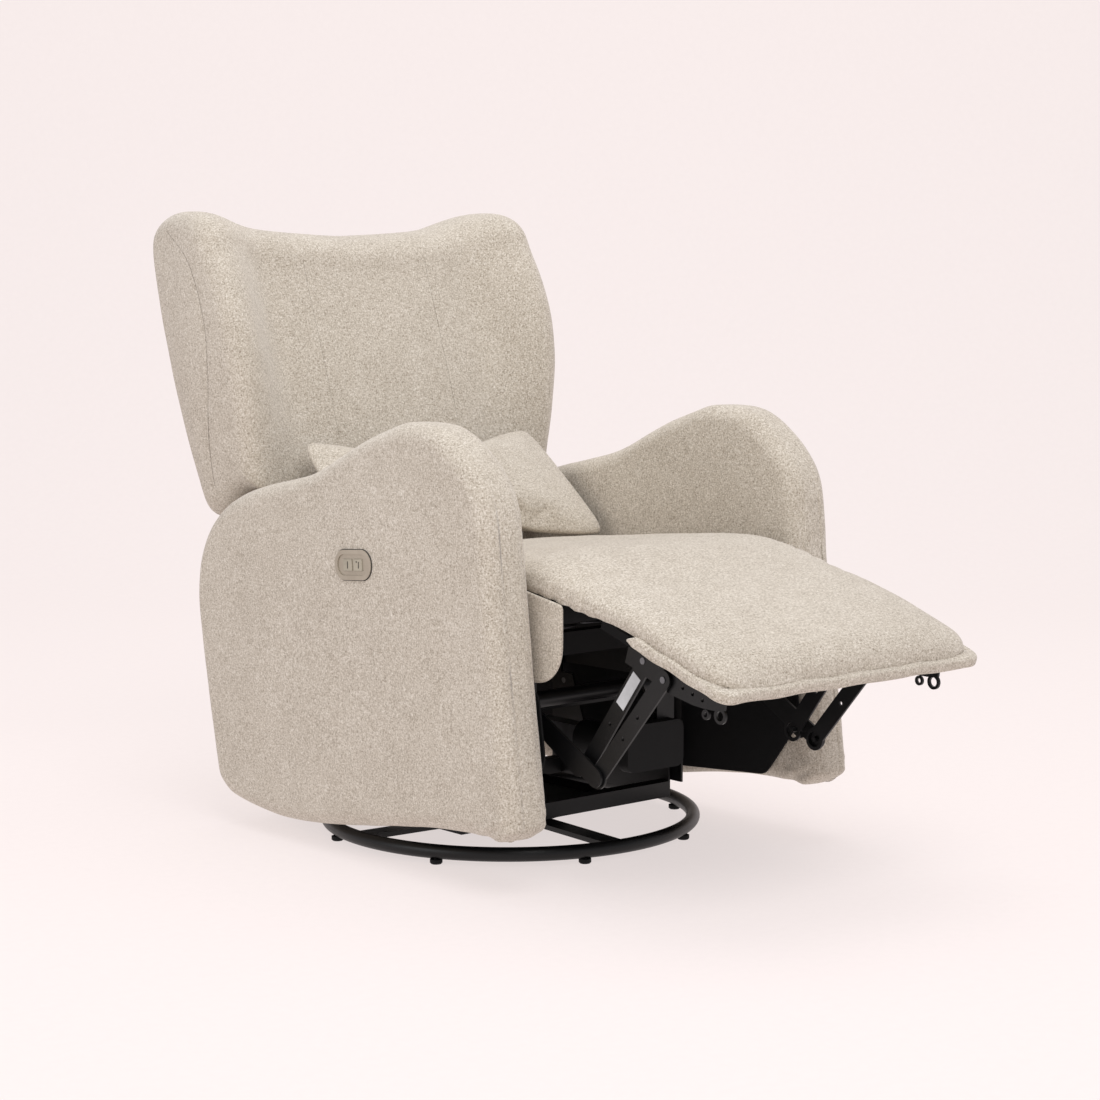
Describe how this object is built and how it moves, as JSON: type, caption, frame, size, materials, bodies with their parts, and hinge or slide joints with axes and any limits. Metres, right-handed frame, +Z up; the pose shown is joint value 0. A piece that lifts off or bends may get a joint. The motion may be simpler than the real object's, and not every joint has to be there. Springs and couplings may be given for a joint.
{
  "type": "glider recliner chair",
  "caption": "Upholstered wing-back glider recliner with padded arms, raised chaise footrest, lumbar pillow, arm switch and a round swivel ring base.",
  "frame": {"origin": "on the floor, on the swivel axis at the centre of the ring base", "axes": "+Z up, the chair faces -Y, the sitter's left side is +X"},
  "size_m": [0.7412, 1.3483, 1.021],
  "materials": {
    "upholstery": "oatmeal boucle weave",
    "lining": "black dust cloth",
    "black_steel": "satin black powder coat",
    "pin_steel": "zinc plated",
    "wood": "bare plywood",
    "spring_wire": "oiled",
    "glide_plastic": "black",
    "switch_metal": "satin taupe nickel",
    "button_plastic": "satin taupe",
    "actuator_plastic": "black",
    "aluminium": "extruded"
  },
  "bodies": {
    "base": {"base_ring": "black_steel", "base_cross_bars": "black_steel", "foot_glides": "glide_plastic", "swivel_bearing_lower": "black_steel", "swivel_kingpin": "pin_steel"},
    "glider_base": {"swivel_bearing_upper": "black_steel", "glider_tray": "black_steel", "glider_cross_tubes": "black_steel", "glide_upper_pins": "pin_steel", "glider_bracket_left": "black_steel", "glider_bracket_right": "black_steel"},
    "glide_link_fr": {"glide_link_front_right": "black_steel"},
    "glide_link_fl": {"glide_link_front_left": "black_steel"},
    "glide_link_rr": {"glide_link_rear_right": "black_steel"},
    "glide_link_rl": {"glide_link_rear_left": "black_steel"},
    "seat": {"glide_lower_pins": "pin_steel", "seat_cross_tubes": "black_steel", "seat_rail_front": "wood", "seat_rail_rear": "wood", "seat_springs": "spring_wire", "seat_cushion": "upholstery", "rear_panel": "upholstery", "switch_bezel": "switch_metal", "actuator_rail": "aluminium", "actuator_gearbox": "actuator_plastic", "actuator_motor": "actuator_plastic", "actuator_mounts": "black_steel", "power_inlet": "actuator_plastic", "back_hinge_pins": "pin_steel", "seat_hanger_left": "black_steel", "seat_hanger_right": "black_steel", "seat_side_plate_left": "black_steel", "seat_side_plate_right": "black_steel", "seat_box_side_left": "upholstery", "seat_box_side_right": "upholstery", "arm_padding_left": "upholstery", "arm_padding_right": "upholstery", "arm_board_left": "wood", "arm_board_right": "wood", "arm_lining_left": "lining", "arm_lining_right": "lining"},
    "footrest": {"chaise_pad": "upholstery", "footrest_board": "wood", "footrest_cross_bar": "black_steel", "footrest_rail_pins": "pin_steel", "footrest_rail_left": "black_steel", "footrest_rail_right": "black_steel"},
    "crank": {"footrest_crank": "black_steel"},
    "link_front_right": {"footrest_link_front_right": "black_steel"},
    "link_front_left": {"footrest_link_front_left": "black_steel"},
    "link_rear_right": {"footrest_link_rear_right": "black_steel"},
    "link_rear_left": {"footrest_link_rear_left": "black_steel"},
    "carriage": {"actuator_carriage": "actuator_plastic"},
    "back": {"back_padding": "upholstery", "back_frame": "black_steel", "back_bracket_left": "black_steel", "back_bracket_right": "black_steel"},
    "pillow": {"lumbar_pillow": "upholstery"},
    "button_footrest": {"button_footrest": "button_plastic"},
    "button_back": {"button_back": "button_plastic"}
  },
  "joints": [
    {"name": "base_swivel", "type": "hinge", "parent": "base", "child": "glider_base", "pos_m": [0, 0, 0.036], "axis": [0, 0, 1], "continuous": true},
    {"name": "glide_swing", "type": "hinge", "parent": "glider_base", "child": "glide_link_fr", "pos_m": [-0.23, -0.12, 0.205], "axis": [1, 0, 0], "range_deg": [-14, 14]},
    {"name": "glide_front_left", "type": "hinge", "parent": "glider_base", "child": "glide_link_fl", "pos_m": [0.23, -0.12, 0.205], "axis": [1, 0, 0], "range_deg": [-14.05, 14.05]},
    {"name": "glide_rear_right", "type": "hinge", "parent": "glider_base", "child": "glide_link_rr", "pos_m": [-0.23, 0.12, 0.205], "axis": [1, 0, 0], "range_deg": [-14.05, 14.05]},
    {"name": "glide_rear_left", "type": "hinge", "parent": "glider_base", "child": "glide_link_rl", "pos_m": [0.23, 0.12, 0.205], "axis": [1, 0, 0], "range_deg": [-14.05, 14.05]},
    {"name": "seat_level", "type": "hinge", "parent": "glide_link_fr", "child": "seat", "pos_m": [-0.23, -0.12, 0.082], "axis": [1, 0, 0], "range_deg": [-14.05, 14.05]},
    {"name": "footrest_fold", "type": "hinge", "parent": "seat", "child": "footrest", "pos_m": [0, -0.44, 0.44], "axis": [1, 0, 0], "range_deg": [0, 72.5]},
    {"name": "crank_turn", "type": "hinge", "parent": "seat", "child": "crank", "pos_m": [0, -0.31, 0.275], "axis": [1, 0, 0], "range_deg": [0, 76.1]},
    {"name": "link_front_right_pivot", "type": "hinge", "parent": "footrest", "child": "link_front_right", "pos_m": [-0.23, -0.62, 0.348], "axis": [1, 0, 0], "range_deg": [-70.13, 0]},
    {"name": "link_rear_right_pivot", "type": "hinge", "parent": "footrest", "child": "link_rear_right", "pos_m": [-0.218, -0.571, 0.369], "axis": [1, 0, 0], "range_deg": [-67.88, 0]},
    {"name": "link_front_left_pivot", "type": "hinge", "parent": "footrest", "child": "link_front_left", "pos_m": [0.23, -0.62, 0.348], "axis": [1, 0, 0], "range_deg": [-70.13, 0]},
    {"name": "link_rear_left_pivot", "type": "hinge", "parent": "footrest", "child": "link_rear_left", "pos_m": [0.218, -0.571, 0.369], "axis": [1, 0, 0], "range_deg": [-67.88, 0]},
    {"name": "carriage_slide", "type": "slide", "parent": "seat", "child": "carriage", "axis": [0, 1, 0], "range_m": [0, 0.07408]},
    {"name": "back_recline", "type": "hinge", "parent": "seat", "child": "back", "pos_m": [0, 0.232, 0.4], "axis": [-1, 0, 0], "range_deg": [-6, 35]},
    {"name": "pillow_lift", "type": "slide", "parent": "seat", "child": "pillow", "axis": [0, -0.5, 0.866], "range_m": [0, 0.2]},
    {"name": "button_footrest_press", "type": "slide", "parent": "seat", "child": "button_footrest", "axis": [1, 0, 0], "range_m": [0, 0.0012], "stiffness_N_per_m": 1500, "springref_m": -0.0006},
    {"name": "button_back_press", "type": "slide", "parent": "seat", "child": "button_back", "axis": [1, 0, 0], "range_m": [0, 0.0012], "stiffness_N_per_m": 1500, "springref_m": -0.0006}
  ],
  "couplings": [
    {"joint": "glide_front_left", "follows": "glide_swing", "ratio": 1},
    {"joint": "glide_rear_right", "follows": "glide_swing", "ratio": 1},
    {"joint": "glide_rear_left", "follows": "glide_swing", "ratio": 1},
    {"joint": "seat_level", "follows": "glide_swing", "ratio": -1},
    {"joint": "crank_turn", "follows": "footrest_fold", "ratio": 1.0483},
    {"joint": "link_front_right_pivot", "follows": "footrest_fold", "ratio": -0.96598},
    {"joint": "link_rear_right_pivot", "follows": "footrest_fold", "ratio": -0.93496},
    {"joint": "link_front_left_pivot", "follows": "footrest_fold", "ratio": -0.96598},
    {"joint": "link_rear_left_pivot", "follows": "footrest_fold", "ratio": -0.93496},
    {"joint": "carriage_slide", "follows": "footrest_fold", "m_per_rad": 0.058386}
  ]
}
